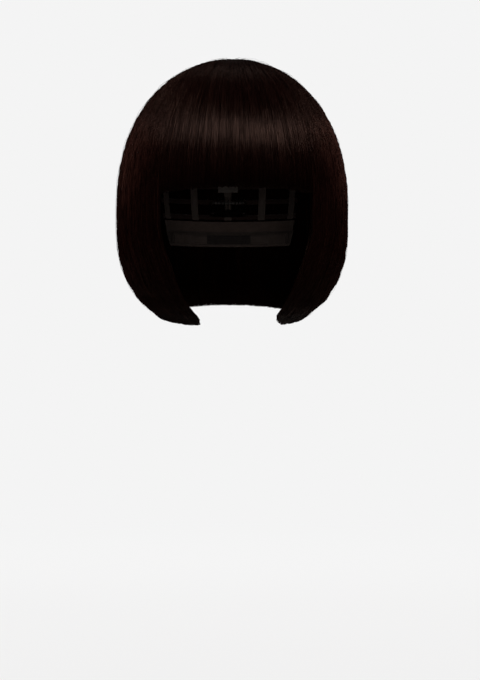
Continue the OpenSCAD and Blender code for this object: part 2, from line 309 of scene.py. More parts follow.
def add_tubes(name, paths, normals, radii, material, flat=1.0, sides=3, column=None):
    """Closed fibres along paths (fibre, ring, xyz). Each fibre's map is one column, from root to tip."""
    count, rings = paths.shape[:2]
    along = unit(np.gradient(paths, axis=1))
    across = unit(np.cross(along, normals))
    up = np.cross(across, along)
    angle = np.arange(sides) * 2 * math.pi / sides
    ring = (
        up[:, :, None] * np.cos(angle)[None, None, :, None]
        + across[:, :, None] * (flat * np.sin(angle))[None, None, :, None]
    )
    points = paths[:, :, None] + ring * np.broadcast_to(radii, (count, rings))[:, :, None, None]
    index = np.arange(count * rings * sides).reshape(count, rings, sides)
    turn = np.roll(index, -1, axis=2)
    quads = np.stack([index[:, :-1], turn[:, :-1], turn[:, 1:], index[:, 1:]], -1).reshape(-1, 4)
    caps = np.concatenate([index[:, 0, ::-1], index[:, -1]])
    if column is None:
        column = RNG.integers(0, COLUMNS, count)
    u = (column[:, None, None] + (np.arange(sides + 1) / sides * 0.8 + 0.1)[None, None]) / COLUMNS
    v = np.linspace(0.02, 0.98, rings)[None, :, None]
    uv = np.stack(np.broadcast_arrays(u, v), -1)
    quad_uv = np.stack([uv[:, :-1, :-1], uv[:, :-1, 1:], uv[:, 1:, 1:], uv[:, 1:, :-1]], -2).reshape(-1, 2)
    cap_uv = np.concatenate([uv[:, 0, :sides][:, ::-1].reshape(-1, 2), uv[:, -1, :sides].reshape(-1, 2)])
    return add_mesh(name, points, [quads, caps], [material], np.concatenate([quad_uv, cap_uv]), STRAND_MAP)


def lengths(points):
    """How far along a line each of its points is."""
    return np.concatenate([[0], np.cumsum(np.linalg.norm(np.diff(points, axis=0), axis=1))])


def add_shell(name, outer, inner, material):
    """A closed shell between two grids of points (row, column, xyz). Its map is in metres on its surface."""
    rows, columns = outer.shape[:2]
    index = np.arange(rows * columns).reshape(rows, columns)
    a, b, c, d = index[:-1, :-1], index[:-1, 1:], index[1:, 1:], index[1:, :-1]
    top = np.stack([a, d, c, b], -1).reshape(-1, 4)
    under = top[:, ::-1] + index.size
    rim = np.concatenate([index[0], index[1:, -1], index[-1, -2::-1], index[-2:0:-1, 0]])
    after = np.roll(rim, -1)
    wall = np.stack([rim, after, after + index.size, rim + index.size], -1)
    points = np.concatenate([outer.reshape(-1, 3), inner.reshape(-1, 3)])
    faces = np.concatenate([top, under, wall])
    p, q, r, t = (points[faces[:, k]] for k in range(4))
    volume = (np.cross(p - r, q - t) * (p + q + r + t)).sum()
    if volume < 0:
        faces = faces[:, ::-1]
    uv = np.stack(np.meshgrid(lengths(outer[rows // 2]), lengths(outer[:, columns // 2])), -1).reshape(-1, 2)
    return add_mesh(name, points, [faces], [material], uv[faces.ravel() % index.size])


def ride(piece, body, slot, *replaced):
    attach(piece, body)
    if replaced:
        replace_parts(piece, *replaced)
    return piece


# ---- materials


def new_material(name):
    material = bpy.data.materials.new(name)
    material.use_nodes = True
    tree = material.node_tree
    return material, tree, tree.nodes["Principled BSDF"]


def put(tree, node, **values):
    """Sets a node's inputs by name, with _ for each space. Sockets are linked, and colours made opaque."""
    for name, value in values.items():
        socket = node.inputs[name.replace("_", " ")]
        if isinstance(value, bpy.types.NodeSocket):
            tree.links.new(value, socket)
        else:
            is_colour = socket.type == "RGBA"
            socket.default_value = (*value, 1) if is_colour else value


def add_node(tree, kind, **values):
    node = tree.nodes.new("ShaderNode" + kind)
    put(tree, node, **values)
    return node


def ramp(tree, source, stops):
    node = add_node(tree, "ValToRGB", Fac=source)
    while len(node.color_ramp.elements) < len(stops):
        node.color_ramp.elements.new(0.5)
    for element, (place, colour) in zip(node.color_ramp.elements, stops):
        element.position = place
        element.color = (*colour, 1)
    return node.outputs["Color"]


def calc(tree, operation, *values):
    """The output of a Math node on sockets or numbers."""
    node = add_node(tree, "Math")
    node.operation = operation
    for socket, value in zip(node.inputs, values):
        if isinstance(value, (int, float)):
            socket.default_value = value
        else:
            tree.links.new(value, socket)
    return node.outputs[0]


def noise(tree, scale, detail=2, coordinates=None):
    if coordinates is None:
        coordinates = add_node(tree, "TexCoord").outputs["Object"]
    return add_node(tree, "TexNoise", Scale=scale, Detail=detail, Vector=coordinates).outputs["Fac"]


def spread(tree, source, low, high, start=0.0, end=1.0):
    """Maps source, which runs from start to end, to values from low to high."""
    node = add_node(tree, "MapRange", Value=source, From_Min=start, From_Max=end, To_Min=low, To_Max=high)
    return node.outputs["Result"]


def emboss(tree, shader, source, strength, distance):
    bump = add_node(tree, "Bump", Strength=strength, Distance=distance, Height=source)
    put(tree, shader, Normal=bump.outputs["Normal"])


def map_of(tree, name):
    uv = add_node(tree, "UVMap")
    uv.uv_map = name
    return uv.outputs["UV"]


def stretched(tree, name, scale):
    """A map of the piece, stretched by a scale along each of its axes."""
    return add_node(tree, "Mapping", Vector=map_of(tree, name), Scale=scale).outputs["Vector"]


def scaled(colour, share):
    return tuple(c * share for c in colour)


HAIR_DARK = (0.0032, 0.0007, 0.0005)
HAIR_BROWN = (0.0105, 0.0024, 0.0016)
HAIR_RED = (0.0190, 0.0048, 0.0032)
HAIR_GOLD = (0.0300, 0.0110, 0.0060)


HAIR_SHEEN = (1.0, 0.58, 0.46)


def hair_material(name="hair_fibre"):
    """Every strand of fibres has its own shade and gloss, which change a little along it."""
    material, tree, shader = new_material(name)
    grain = noise(tree, 1.0, 3, stretched(tree, STRAND_MAP, (COLUMNS * 0.9, 0.9, 1)))
    shade = ramp(tree, grain, [(0.34, HAIR_DARK), (0.56, HAIR_BROWN), (0.68, HAIR_RED), (0.76, HAIR_GOLD)])
    put(tree, shader, Base_Color=shade, Roughness=spread(tree, grain, 0.17, 0.31),
        Specular_IOR_Level=spread(tree, grain, 0.10, 0.50, 0.36, 0.64), Specular_Tint=HAIR_SHEEN)
    return material


def core_material():
    """The hair under the outermost fibres: grooves run along it."""
    material, tree, shader = new_material("hair_core")
    grooves = noise(tree, 1.0, 3, stretched(tree, WEAVE_MAP, (2200, 25, 1)))
    shade = ramp(tree, grooves, [(0.34, HAIR_DARK), (0.56, HAIR_BROWN), (0.72, HAIR_RED)])
    put(tree, shader, Base_Color=shade, Roughness=spread(tree, grooves, 0.4, 0.6),
        Specular_IOR_Level=0.15, Specular_Tint=HAIR_SHEEN)
    emboss(tree, shader, grooves, 0.8, 0.0004)
    return material


def cloth_material(name, colour, pitch, twill=0.0, roughness=(0.55, 0.8), sheen=0.25, depth=0.00015):
    """Crossing threads pitch metres apart along and across, slanted by twill, with faded patches. Its colour
    has painted shade where the threads dip and painted light where they cross over.
    """
    material, tree, shader = new_material(name)
    parts = add_node(tree, "SeparateXYZ", Vector=map_of(tree, WEAVE_MAP))
    slant = calc(tree, "MULTIPLY_ADD", parts.outputs["X"], twill, parts.outputs["Y"])
    along = calc(tree, "SINE", calc(tree, "MULTIPLY", parts.outputs["X"], 2 * math.pi / pitch[0]))
    across = calc(tree, "SINE", calc(tree, "MULTIPLY", slant, 2 * math.pi / pitch[1]))
    weave = calc(tree, "MULTIPLY_ADD", calc(tree, "MULTIPLY", along, across), 0.35, 0.5)
    fade = calc(tree, "MULTIPLY_ADD", noise(tree, 90, 4), 0.5, -0.25)
    height = calc(tree, "ADD", weave, calc(tree, "MULTIPLY", noise(tree, 2500), 0.15))
    # Painted shade and light: the colour is darkened where the weave dips and lightened where the threads
    # cross; fade adds the cloth's own faded patches.
    shade = ramp(tree, calc(tree, "ADD", weave, fade), [
        (0.15, scaled(colour, 0.45)), (0.5, colour), (0.85, scaled(colour, 1.5)),
    ])
    put(tree, shader, Base_Color=shade, Roughness=spread(tree, weave, *roughness), Sheen_Weight=sheen,
        Sheen_Roughness=0.4, Specular_IOR_Level=0.3)
    emboss(tree, shader, height, 0.6, depth)
    return material


def thread_material(name, colour):
    """Twisted sewing thread: grooves run round it, closer together than its own width, with painted shade in
    them and painted light on the plies between.
    """
    material, tree, shader = new_material(name)
    parts = add_node(tree, "SeparateXYZ", Vector=map_of(tree, STRAND_MAP))
    climb = calc(tree, "MULTIPLY", parts.outputs["Y"], 30.0)
    turns = calc(tree, "MULTIPLY_ADD", parts.outputs["X"], COLUMNS * 2 * math.pi, climb)
    twist = calc(tree, "MULTIPLY_ADD", calc(tree, "SINE", turns), 0.4, 0.5)
    # Painted shade in the grooves and painted light on the plies: the twist scales the thread's colour from
    # half to 1.3 times.
    shade = ramp(tree, twist, [(0.1, scaled(colour, 0.5)), (0.9, scaled(colour, 1.3))])
    put(tree, shader, Base_Color=shade, Roughness=spread(tree, twist, 0.7, 0.5), Specular_IOR_Level=0.3)
    return material


def steel_material(name, colour):
    """Drawn and lacquered spring steel, with fine streaks and worn, brighter patches."""
    material, tree, shader = new_material(name)
    streaks = noise(tree, 1800, 3)
    wear = noise(tree, 260, 5)
    mixed = calc(tree, "MULTIPLY_ADD", streaks, 0.4, calc(tree, "MULTIPLY", wear, 0.6))
    shade = ramp(tree, mixed, [
        (0.30, scaled(colour, 0.6)), (0.52, colour), (0.68, scaled(colour, 1.5)),
    ])
    put(tree, shader, Base_Color=shade, Roughness=spread(tree, mixed, 0.5, 0.22), Metallic=1)
    emboss(tree, shader, streaks, 0.15, 0.0001)
    return material


def silicone_material(name, colour):
    """Soft matt silicone with a faint moulded grain and dust in its hollows."""
    material, tree, shader = new_material(name)
    grain = noise(tree, 3000, 2)
    dust = noise(tree, 500, 4)
    shade = ramp(tree, dust, [(0.35, scaled(colour, 0.75)), (0.7, scaled(colour, 1.35))])
    put(tree, shader, Base_Color=shade, Roughness=spread(tree, dust, 0.42, 0.62))
    emboss(tree, shader, grain, 0.2, 0.0001)
    return material


ELASTIC_COLOUR = (0.105, 0.082, 0.072)
HOOK_COLOUR = (0.045, 0.038, 0.036)


def make_looks():
    """The cap's materials, each with its colour, and for cloths the pitch of the threads and the rest."""
    return {
        "net": cloth_material("net", (0.070, 0.052, 0.045), (0.0016, 0.0016), twill=1.0, depth=0.0003),
        "elastic": cloth_material("elastic_tape", ELASTIC_COLOUR, (0.0011, 0.0017), sheen=0.15),
        "elastic_up": cloth_material("elastic_tape_upright", ELASTIC_COLOUR, (0.0017, 0.0011), sheen=0.15),
        "satin": cloth_material(
            "satin", (0.130, 0.094, 0.080), (0.0030, 0.0012), 0.5, (0.30, 0.45), 0.4, 0.00006),
        "skin": cloth_material("skin_top", (0.62, 0.44, 0.33), (0.0014, 0.0014), sheen=0.1),
        "label": cloth_material(
            "label", (0.175, 0.150, 0.135), (0.0009, 0.0009), 0.5, (0.35, 0.5), 0.2, 0.00006),
        "track": cloth_material("weft_track", (0.035, 0.018, 0.015), (0.0012, 0.0010)),
        "strap": cloth_material("strap", ELASTIC_COLOUR, (0.0013, 0.0011), sheen=0.15),
        "hook": cloth_material("hook_tape", HOOK_COLOUR, (0.0010, 0.0010), 0.0, (0.4, 0.55), 0.0),
        "loop": cloth_material("loop_tape", HOOK_COLOUR, (0.0008, 0.0008), 0.0, (0.8, 0.95), 0.5),
        "thread": thread_material("thread", (0.060, 0.046, 0.040)),
        "loop_thread": thread_material("loop_thread", scaled(HOOK_COLOUR, 1.6)),
        "stay": steel_material("stay_metal", (0.45, 0.45, 0.47)),
        "comb": steel_material("comb_steel", (0.16, 0.155, 0.15)),
        "silicone": silicone_material("silicone", (0.11, 0.10, 0.095)),
    }


# ---- hair

# Each section's body is named as the section, and share is how many degrees of the head it covers
SECTIONS = {
    "fringe": {"joint": "fringe_lift", "share": 80},
    "side_left": {"joint": "side_left_swing", "share": 80},
    "side_right": {"joint": "side_right_swing", "share": 80},
    "back": {"joint": "back_swing", "share": 120},
}

# Degrees that a section's body and its fibres stop short of its cut edges
BODY_GAP = 0.4
FIBRE_GAP = -0.1
FIBRES_A_PIECE = 2600
STRAND_DEG = 0.7

# How far the fibres wave in and out, locks lie apart, roots go under, and ridges stand up on the bodies
FIBRE_WAVE = 0.00055
LOCK_DEPTH = 0.00018
ROOT_SINK = 0.0020
FIBRE_LAYER = 0.0013
RIDGE = 0.00022


def fringe_hem(azimuth):
    return FRINGE_HEM + FRINGE_ARCH * (1 - (azimuth / FACE_EDGE) ** 2)


def section_azimuth(section, u, m, depth, gap=FIBRE_GAP):
    """The azimuth at share u across a section, between its two cut edges. gap is left at each edge."""
    if section == "fringe":
        edge = edge_at(FACE_EDGE, np.minimum(m, 1), depth) - gap
        return mix(-edge, edge, u)
    if section == "back":
        return mix(SIDE_END + gap, 360 - SIDE_END - gap, u) + 0 * m
    z = height(np.full(np.shape(m), float(FACE_EDGE)), m)
    edge = edge_at(front_edge(z, CORNERS[section]), m, depth)
    azimuth = mix(edge, SIDE_END - gap, u)
    return azimuth if section == "side_left" else -azimuth


def last_m(section, azimuth):
    """m at the hem."""
    if section == "fringe":
        return np.degrees(np.arccos(np.clip((fringe_hem(azimuth) - BELT_Z) / DOME_H, -1, 1))) / 90
    return np.full(np.shape(azimuth), 2.0)


def drop_to_hem(section, azimuth):
    """How many metres one step of m is worth at the hem."""
    if section == "fringe":
        return np.full(np.shape(azimuth), DOME_H * math.pi / 2)
    return BELT_Z - hem_z(azimuth)


def hang(piece):
    """Bakes the hair piece's placement into its points."""
    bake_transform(piece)
    return piece


def in_locks(u, width_deg, lock_width):
    """Each fibre's lock, and the place across the section that its lock closes up towards."""
    count = max(3, int(width_deg / lock_width))
    edges = (np.arange(count + 1) + RNG.uniform(-0.35, 0.35, count + 1)) / count
    edges[0], edges[-1] = 0, 1
    lock = np.clip(np.searchsorted(edges, u) - 1, 0, count - 1)
    return lock, count, (edges[lock] + edges[lock + 1]) / 2


def add_fibres(kind, section, material, count, roots, depth, radius, pull=0.15, tip_spread=0.0012,
               tip_lift=0.0, lock_width=3.0, rings=13, inner=False, hidden_roots=True):
    """Fibres of one section. roots gives m at each root, and depth is counted from the outer surface, or
    from the inner one if inner is set. Each lock closes up by pull, and tips end up to tip_lift short."""
    u = RNG.uniform(0, 1, count)
    lock, locks, middle = in_locks(u, SECTIONS[section]["share"], lock_width)
    lock_tip, lock_drift = RNG.normal(0, 1, locks)[lock], RNG.normal(0, 1, locks)[lock]
    lock_depth = RNG.uniform(-1, 1, locks)[lock] * LOCK_DEPTH
    strand = (u * SECTIONS[section]["share"] / STRAND_DEG).astype(int)
    strand_column = RNG.integers(0, COLUMNS, strand.max() + 1)[strand]
    column = np.where(RNG.uniform(0, 1, count) < 0.75, strand_column, RNG.integers(0, COLUMNS, count))
    tilt = 0.7 * RNG.normal(0, 1, locks)[lock] + 0.5 * RNG.normal(0, 1, strand.max() + 1)[strand]
    tilt = (tilt + RNG.normal(0, 0.3, count))[:, None]
    s = np.concatenate([[0, 0.012], np.linspace(0.05, 1, rings - 2)])[None]
    start = roots(count)[:, None]
    deep = mix(depth[0], depth[1], RNG.uniform(0, 1, count)) + lock_depth
    tip_u = u + (middle - u) * pull
    waves = RNG.uniform(0.7, 1.6, count)[:, None]
    sway = RNG.normal(0, 0.0013, count)[:, None] * np.sin(s * math.pi * waves)
    across = mix(u[:, None], tip_u[:, None], ease((s - 0.25) / 0.75)) + sway
    across = np.clip(across + 0.0012 * lock_drift[:, None] * s, 0.001, 0.999)
    near_hem = np.full(count, 0.95 if section == "fringe" else 1.9)
    at_tip = section_azimuth(section, tip_u, near_hem, np.abs(deep))
    short = tip_lift * RNG.uniform(0, 1, count) + tip_spread * (
        np.abs(0.6 * lock_tip) + np.abs(RNG.normal(0, 0.5, count)))
    end = last_m(section, at_tip) - short / drop_to_hem(section, at_tip)
    m = mix(start, end[:, None], s)
    sunk = deep[:, None] + FIBRE_WAVE * tilt * np.sin(5 * math.pi * m + 9 * tilt) * ease(s / 0.3)
    if hidden_roots:
        sunk = sunk + ROOT_SINK * (1 - ease(s / 0.03))
    azimuth = section_azimuth(section, across, m, np.maximum(sunk, 0))
    if inner:
        sunk = thickness_at(azimuth, m) - sunk
        azimuth = section_azimuth(section, across, m, sunk)
    paths = within(azimuth, m, sunk)
    thin = mix(0.75, 1.0, ease(s / 0.1)) * (1 - 0.75 * ease((s - 0.75) / 0.25))
    radii = radius * RNG.uniform(0.7, 1.3, count)[:, None] * thin
    name = f"hair_{section}_{kind}"
    fibres = add_tubes(name, paths, outward(azimuth, m), radii, material, flat=1.5, column=column)
    hang(fibres)


def crown_roots(count):
    """Roots as dense all over the crown, closing on the point where the fibres fan out from."""
    return np.degrees(np.arcsin(RNG.uniform(0.012, 1, count))) / 90 * 0.62 + 0.008


def roots_between(low, high):
    return lambda count: RNG.uniform(low, high, count)


def add_mass(section, material):
    """The closed body of hair that the fibres lie on, ridged along them."""
    columns, rows = int(SECTIONS[section]["share"] * 2.5), 48
    u = np.linspace(0, 1, columns + 1)[None]
    s = np.linspace(0, 1, rows + 1)[:, None]
    middle = section_azimuth(section, u[0], np.full(columns + 1, 0.9), np.zeros(columns + 1))
    end = last_m(section, middle) - 0.0045 / drop_to_hem(section, middle)
    m = mix(0.002, end[None], s)
    bumps = RNG.uniform(-1, 1, columns + 1)
    ridge = (bumps + 0.5 * np.roll(bumps, 1))[None] * RIDGE
    taper = ease((s - 0.80) / 0.20)
    skin = FIBRE_LAYER + ridge + 0.0018 * taper + 0 * m
    out_azimuth = section_azimuth(section, u + 0 * m, m, skin, BODY_GAP)
    floor = thickness_at(out_azimuth, m) - FIBRE_LAYER - ridge - 0.0012 * taper
    in_azimuth = section_azimuth(section, u + 0 * m, m, floor, BODY_GAP)
    outer, inner = within(out_azimuth, m, skin), within(in_azimuth, m, floor)
    return hang(add_shell(f"hair_{section}_body", outer, inner, material))


def add_hair():
    fibre = hair_material()
    core = core_material()
    for section, facts in SECTIONS.items():
        share = facts["share"] / 80
        is_fringe = section == "fringe"
        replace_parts(add_mass(section, core), f"hair_{section}", "hair_crown")
        many = int(share * 3900)
        pieces = math.ceil(many / FIBRES_A_PIECE)
        for k in range(pieces):
            add_fibres(f"fibres_{k + 1}", section, fibre, many // pieces, crown_roots, (0.0, FIBRE_LAYER),
                       0.00018, tip_spread=0.0020 if is_fringe else 0.0012)
        low = roots_between(0.62, 0.80) if is_fringe else roots_between(1.30, 1.70)
        add_fibres("hem", section, fibre, int(share * 3000), low, (0.0010, 0.0068), 0.00017, pull=0.08,
                   tip_spread=0.0024 if is_fringe else 0.0016, lock_width=1.1, rings=7, hidden_roots=False)
        inner = roots_between(0.60, 0.75) if is_fringe else roots_between(0.66, 1.30)
        add_fibres("inside", section, fibre, int(share * 1900), inner, (0.0, 0.0012), 0.00020, pull=0.12,
                   tip_lift=0.004, rings=9, inner=True, hidden_roots=False)
        add_fibres("flyaways", section, fibre, int(share * 26), crown_roots, (-0.0016, -0.0003), 0.00008,
                   pull=0.0, tip_spread=0.012)


# ---- cap

LOOKS = make_looks()


def soft_steps(count):
    """Shares from 0 to 1, closer together near both ends."""
    return (1 - np.cos(np.linspace(0, math.pi, count + 1))) / 2


def cap_out(azimuth, polar):
    return unit(cap_point(azimuth, polar, 0.001) - cap_point(azimuth, polar, 0.0))


def fixed(value):
    return lambda u: value + 0 * u


def hairline(u):
    return HAIRLINE_POLAR + HAIRLINE_DROP * (2 * u - 1) ** 2


def thinned(u, v, layer, edge):
    """The middle and half the thickness of a layer that thins out softly towards all four of its edges."""
    full = (1 - np.abs(2 * u - 1) ** edge[0]) * (1 - np.abs(2 * v - 1) ** edge[1])
    full = np.maximum(np.sqrt(full), 0.3)
    return (layer[0] + layer[1]) / 2, (layer[1] - layer[0]) / 2 * full


def strip(node, kind, slot, azimuths, polars, layer, columns, rows, look, relief=None, edge=(60, 8)):
    """A closed strip of fabric on the cap in place of node, with soft edges. polars are functions of the
    share along it, relief lifts both of its faces, and edge says how tightly its sides are rounded."""
    u, v = np.meshgrid(soft_steps(columns), soft_steps(rows))
    azimuth = mix(azimuths[0], azimuths[1], u)
    polar = mix(polars[0](u), polars[1](u), v)
    lift = relief(u, v) if relief else 0
    middle, half = thinned(u, v, layer, edge)
    outer = cap_point(azimuth, polar, middle + half + lift)
    inner = cap_point(azimuth, polar, middle - half + lift)
    return ride(add_shell(f"{node}_{kind}", outer, inner, LOOKS[look]), "root", slot, node)


def cords(count, gathers, across=False):
    """The relief of woven elastic: cords along it, and small gathers where its tension puckers it."""
    def lift(u, v):
        if across:
            u, v = v, u
        ripple = np.sin(2 * math.pi * gathers * u + 1.5 * np.sin(9 * v))
        return 0.00009 * np.cos(2 * math.pi * count * v) + 0.00010 * ripple * np.abs(2 * v - 1)
    return lift


def folds(gathers, depth=0.00012):
    """The relief of thin cloth: soft puckers along its two sewn edges, and a turned hem inside them."""
    def lift(u, v):
        pucker = np.sin(2 * math.pi * gathers * u + 2 * np.sin(5 * u)) * np.abs(2 * v - 1) ** 2
        hem = ease((np.abs(2 * v - 1) - 0.62) / 0.08)
        return depth * pucker + 0.00012 * hem
    return lift


def patch(u, v):
    """A square mapped onto a disc, as azimuth and share of the disc's radius."""
    s, t = 2 * u - 1, 2 * v - 1
    x, y = s * np.sqrt(1 - t * t / 2), -t * np.sqrt(1 - s * s / 2)
    return np.degrees(np.arctan2(x, -y)), np.minimum(1, np.hypot(x, y))


def crown_patch(name, slot, node, polar, layer, count, look):
    """A round cloth over the top of the cap."""
    u, v = np.meshgrid(np.linspace(0, 1, count + 1), np.linspace(0, 1, count + 1))
    azimuth, share = patch(u, v)
    outer, inner = (cap_point(azimuth, polar * share, off) for off in (layer[1], layer[0]))
    return ride(add_shell(name, outer, inner, LOOKS[look]), "root", slot, node)


THREAD_R = 0.00016
NET_THREAD_OFF = -0.00008


def net_threads(name, place, counts):
    """The net's raised threads, which pass over and under each other, at the angles that place gives."""
    samples = 4 * max(counts) + 1
    s = np.linspace(0, 1, samples)
    paths, normals = [], []
    for way, count in enumerate(counts):
        for k, share in enumerate(np.linspace(0.004, 0.996, count)):
            u, v = (share + 0 * s, s) if way == 0 else (s, share + 0 * s)
            azimuth, polar = place(u, v)
            crossings = counts[1 - way] - 1
            wave = np.cos(math.pi * (s * crossings + k + way))
            paths.append(cap_point(azimuth, polar, NET_THREAD_OFF + THREAD_R * 0.6 * wave))
            normals.append(cap_out(azimuth, polar))
    paths, normals = np.array(paths), np.array(normals)
    return ride(add_tubes(name, paths, normals, THREAD_R, LOOKS["thread"], sides=4), "root", "net")


def stitches(points, normals, pitch=0.0028, length=0.0020, sway=0.0):
    """Thread paths for a row of stitches along a line. sway swings their ends apart into a zigzag."""
    along = lengths(points)
    count = max(2, int(along[-1] / pitch))
    reach = np.linspace(-1, 1, 5)[None]
    s = (np.arange(count)[:, None] + 0.5) * along[-1] / count + reach * length / 2
    p = np.stack([np.interp(s, along, points[:, k]) for k in range(3)], -1)
    n = unit(np.stack([np.interp(s, along, normals[:, k]) for k in range(3)], -1))
    side = unit(np.cross(n, np.gradient(p, axis=1)))
    swing = sway * reach * np.where(np.arange(count) % 2, 1, -1)[:, None]
    arch = 0.00016 * (1 - reach**2) - 0.00006
    return p + side * swing[..., None] + n * arch[..., None], n


ZIGZAG = {"sway": 0.0011, "length": 0.0022, "pitch": 0.0024}


def cap_stitches(azimuth, polar, off, **kind):
    """Stitches on the cap's inner face, along the line at these angles."""
    return stitches(cap_point(azimuth, polar, off), -cap_out(azimuth, polar), **kind)


def cap_row(azimuths, polars, off, **kind):
    s = np.linspace(0, 1, 160)
    return cap_stitches(mix(azimuths[0], azimuths[1], s), polars(s), off, **kind)


def sew(name, rows, body="root", slot="satin"):
    paths = np.concatenate([r[0] for r in rows])
    normals = np.concatenate([r[1] for r in rows])
    piece = add_tubes(name, paths, normals, THREAD_R, LOOKS["thread"], sides=5)
    return ride(piece, body, slot)


def across_band(polars, share):
    return lambda u: mix(polars[0](u), polars[1](u), share)


def mirrored(azimuths, side):
    return azimuths if side > 0 else (-azimuths[1], -azimuths[0])


def add_crown():
    net = crown_patch("crown_net_cloth", "net", "crown_net", CROWN_POLAR, NET_LAYER, 72, "net")

    def place(u, v):
        azimuth, share = patch(u, v)
        return azimuth, CROWN_POLAR * share

    threads = net_threads("crown_net_threads", place, (56, 56))
    skin = crown_patch("crown_skin_cloth", "skin_top", "crown_skin_top", SKIN_POLAR, SKIN_LAYER, 40, "skin")


def add_front_band():
    ends = (-HAIRLINE_END, HAIRLINE_END)
    polars = (lambda u: hairline(u) - BAND_DEG, hairline)
    band = strip("front_band", "cloth", "satin", ends, polars, BAND_LAYER, 150, 22, "satin", folds(46))
    return [cap_row(ends, across_band(polars, share), BAND_LAYER[0] + 0.0001) for share in (0.10, 0.88)]


def add_side(side):
    name = "left" if side > 0 else "right"
    azimuths = mirrored((62, BACK_EDGE), side)
    polars = (fixed(CROWN_POLAR + 0.8), fixed(EAR_POLAR))
    node = f"side_panel_{name}"
    panel = strip(node, "cloth", "net", azimuths, polars, NET_LAYER, 60, 30, "net", folds(14))

    def place(u, v):
        return mix(azimuths[0] + 0.5, azimuths[1] - 0.5, u), mix(CROWN_POLAR + 1, EAR_POLAR - 0.3, v)

    threads = net_threads(f"{node}_threads", place, (32, 13))
    edge = mirrored((TAB_AZIMUTH[1] + 1, BACK_EDGE), side)
    edge_polars = (fixed(EAR_POLAR - 3), fixed(EAR_POLAR + 0.6))
    strip(f"side_binding_{name}", "tape", "elastic_tape", edge, edge_polars, BAND_LAYER, 110, 30, "elastic",
          cords(5, 30))
    return [cap_row(edge, fixed(EAR_POLAR - 1.2), BAND_LAYER[0], **ZIGZAG)]


def add_nape():
    azimuths = (BACK_EDGE, 360 - BACK_EDGE)
    polars = (fixed(NAPE_TOP_POLAR), fixed(NAPE_POLAR))
    panel = strip("nape_panel", "cloth", "satin", azimuths, polars, NET_LAYER, 120, 22, "satin", folds(30))
    band_ends = (BACK_EDGE - 2, 362 - BACK_EDGE)
    band_polars = (fixed(NAPE_POLAR - BAND_DEG), fixed(NAPE_POLAR))
    strip("nape_band", "tape", "elastic_tape", band_ends, band_polars, BAND_LAYER, 150, 56, "elastic",
          cords(9, 40))
    rows = [
        cap_row(band_ends, across_band(band_polars, share), BAND_LAYER[0], **ZIGZAG) for share in (0.14, 0.86)
    ]
    rib_polars = (fixed(CROWN_POLAR + 0.8), fixed(NAPE_TOP_POLAR - 0.8))
    for i in range(RIBS):
        middle = mix(BACK_EDGE + 5, 355 - BACK_EDGE, i / (RIBS - 1))
        ends = (middle - 2.5, middle + 2.5)
        strip(f"rib_tape_{i + 1}", "weave", "elastic_tape", ends, rib_polars, RIB_LAYER, 28, 90, "elastic_up",
              cords(5, 26, across=True), edge=(8, 60))
        s = np.linspace(0, 1, 160)
        polar = mix(CROWN_POLAR + 2, NAPE_TOP_POLAR - 2, s)
        for turn in (-1.6, 1.6):
            rows.append(cap_stitches(middle + turn + 0 * s, polar, RIB_LAYER[0], length=0.0018, pitch=0.0024))
    return rows


def add_label():
    azimuths, polars = (173, 187), (fixed(84), fixed(95))

    def curl(u, v):
        return -0.0009 * ease((v - 0.6) / 0.4) * (0.6 + 0.4 * np.cos(3 * u)) + 0.00005 * np.sin(40 * v)

    label = strip("size_label", "cloth", "label", azimuths, polars, LABEL_LAYER, 30, 30, "label", curl,
                  edge=(40, 40))
    return [cap_row((173.8, 186.2), fixed(84.8), LABEL_LAYER[0], pitch=0.0018, length=0.0012)]


def add_ear_tab(side):
    name = "left" if side > 0 else "right"
    body = f"ear_tab_{name}"
    middle, width = sum(TAB_AZIMUTH) / 2, TAB_AZIMUTH[1] - TAB_AZIMUTH[0]

    def place(u, v):
        azimuth = middle + (u - 0.5) * width * (1 - 0.45 * v * v)
        return side * azimuth, mix(*TAB_POLAR, v)

    u, v = np.meshgrid(soft_steps(26), soft_steps(26))
    azimuth, polar = place(u, v)
    pucker = 0.00008 * np.sin(22 * math.pi * v) * np.abs(2 * u - 1) ** 3
    swell = 0.0002 * (1 - (2 * u - 1) ** 2)
    middle_off, half = thinned(u, v, TAB_LAYER, (10, 10))
    centre = middle_off + pucker
    outer, inner = (cap_point(azimuth, polar, off) for off in (centre + half + swell, centre - half))
    tab = add_shell(f"{body}_cloth", outer, inner, LOOKS["satin"])
    ride(tab, body, "satin", body)
    s = np.linspace(0, 1, 40)
    down, over = (0 * s, s), (s, 0 * s + 1)
    outline = [place(*down), place(*over), place(1 + 0 * s, 1 - s)]
    azimuth, polar = (np.concatenate([o[k] for o in outline]) for k in (0, 1))
    cord = cap_point(azimuth, polar, centre.mean())[None]
    out = cap_out(azimuth, polar)[None]
    edging = add_tubes(f"{body}_edging", cord, out, 0.00075, LOOKS["thread"], sides=10)
    ride(edging, body, "satin")
    rows = []
    s = np.linspace(0.08, 0.90, 60)
    for u_place, sunk in ((0.12, 0), (0.42, 0.0001), (0.58, 0.0001), (0.88, 0)):
        line = place(u_place + 0 * s, s)
        rows.append(cap_stitches(*line, TAB_LAYER[0] - sunk, pitch=0.0022, length=0.0015))
    for v_place in (0.22, 0.62):
        line = place(np.linspace(0.38, 0.62, 30), v_place + np.zeros(30))
        rows.append(cap_stitches(*line, -0.0015, pitch=0.0006, length=0.00088, sway=0.0009))
    sew(f"{body}_stitches", rows, body)


# ---- wefts


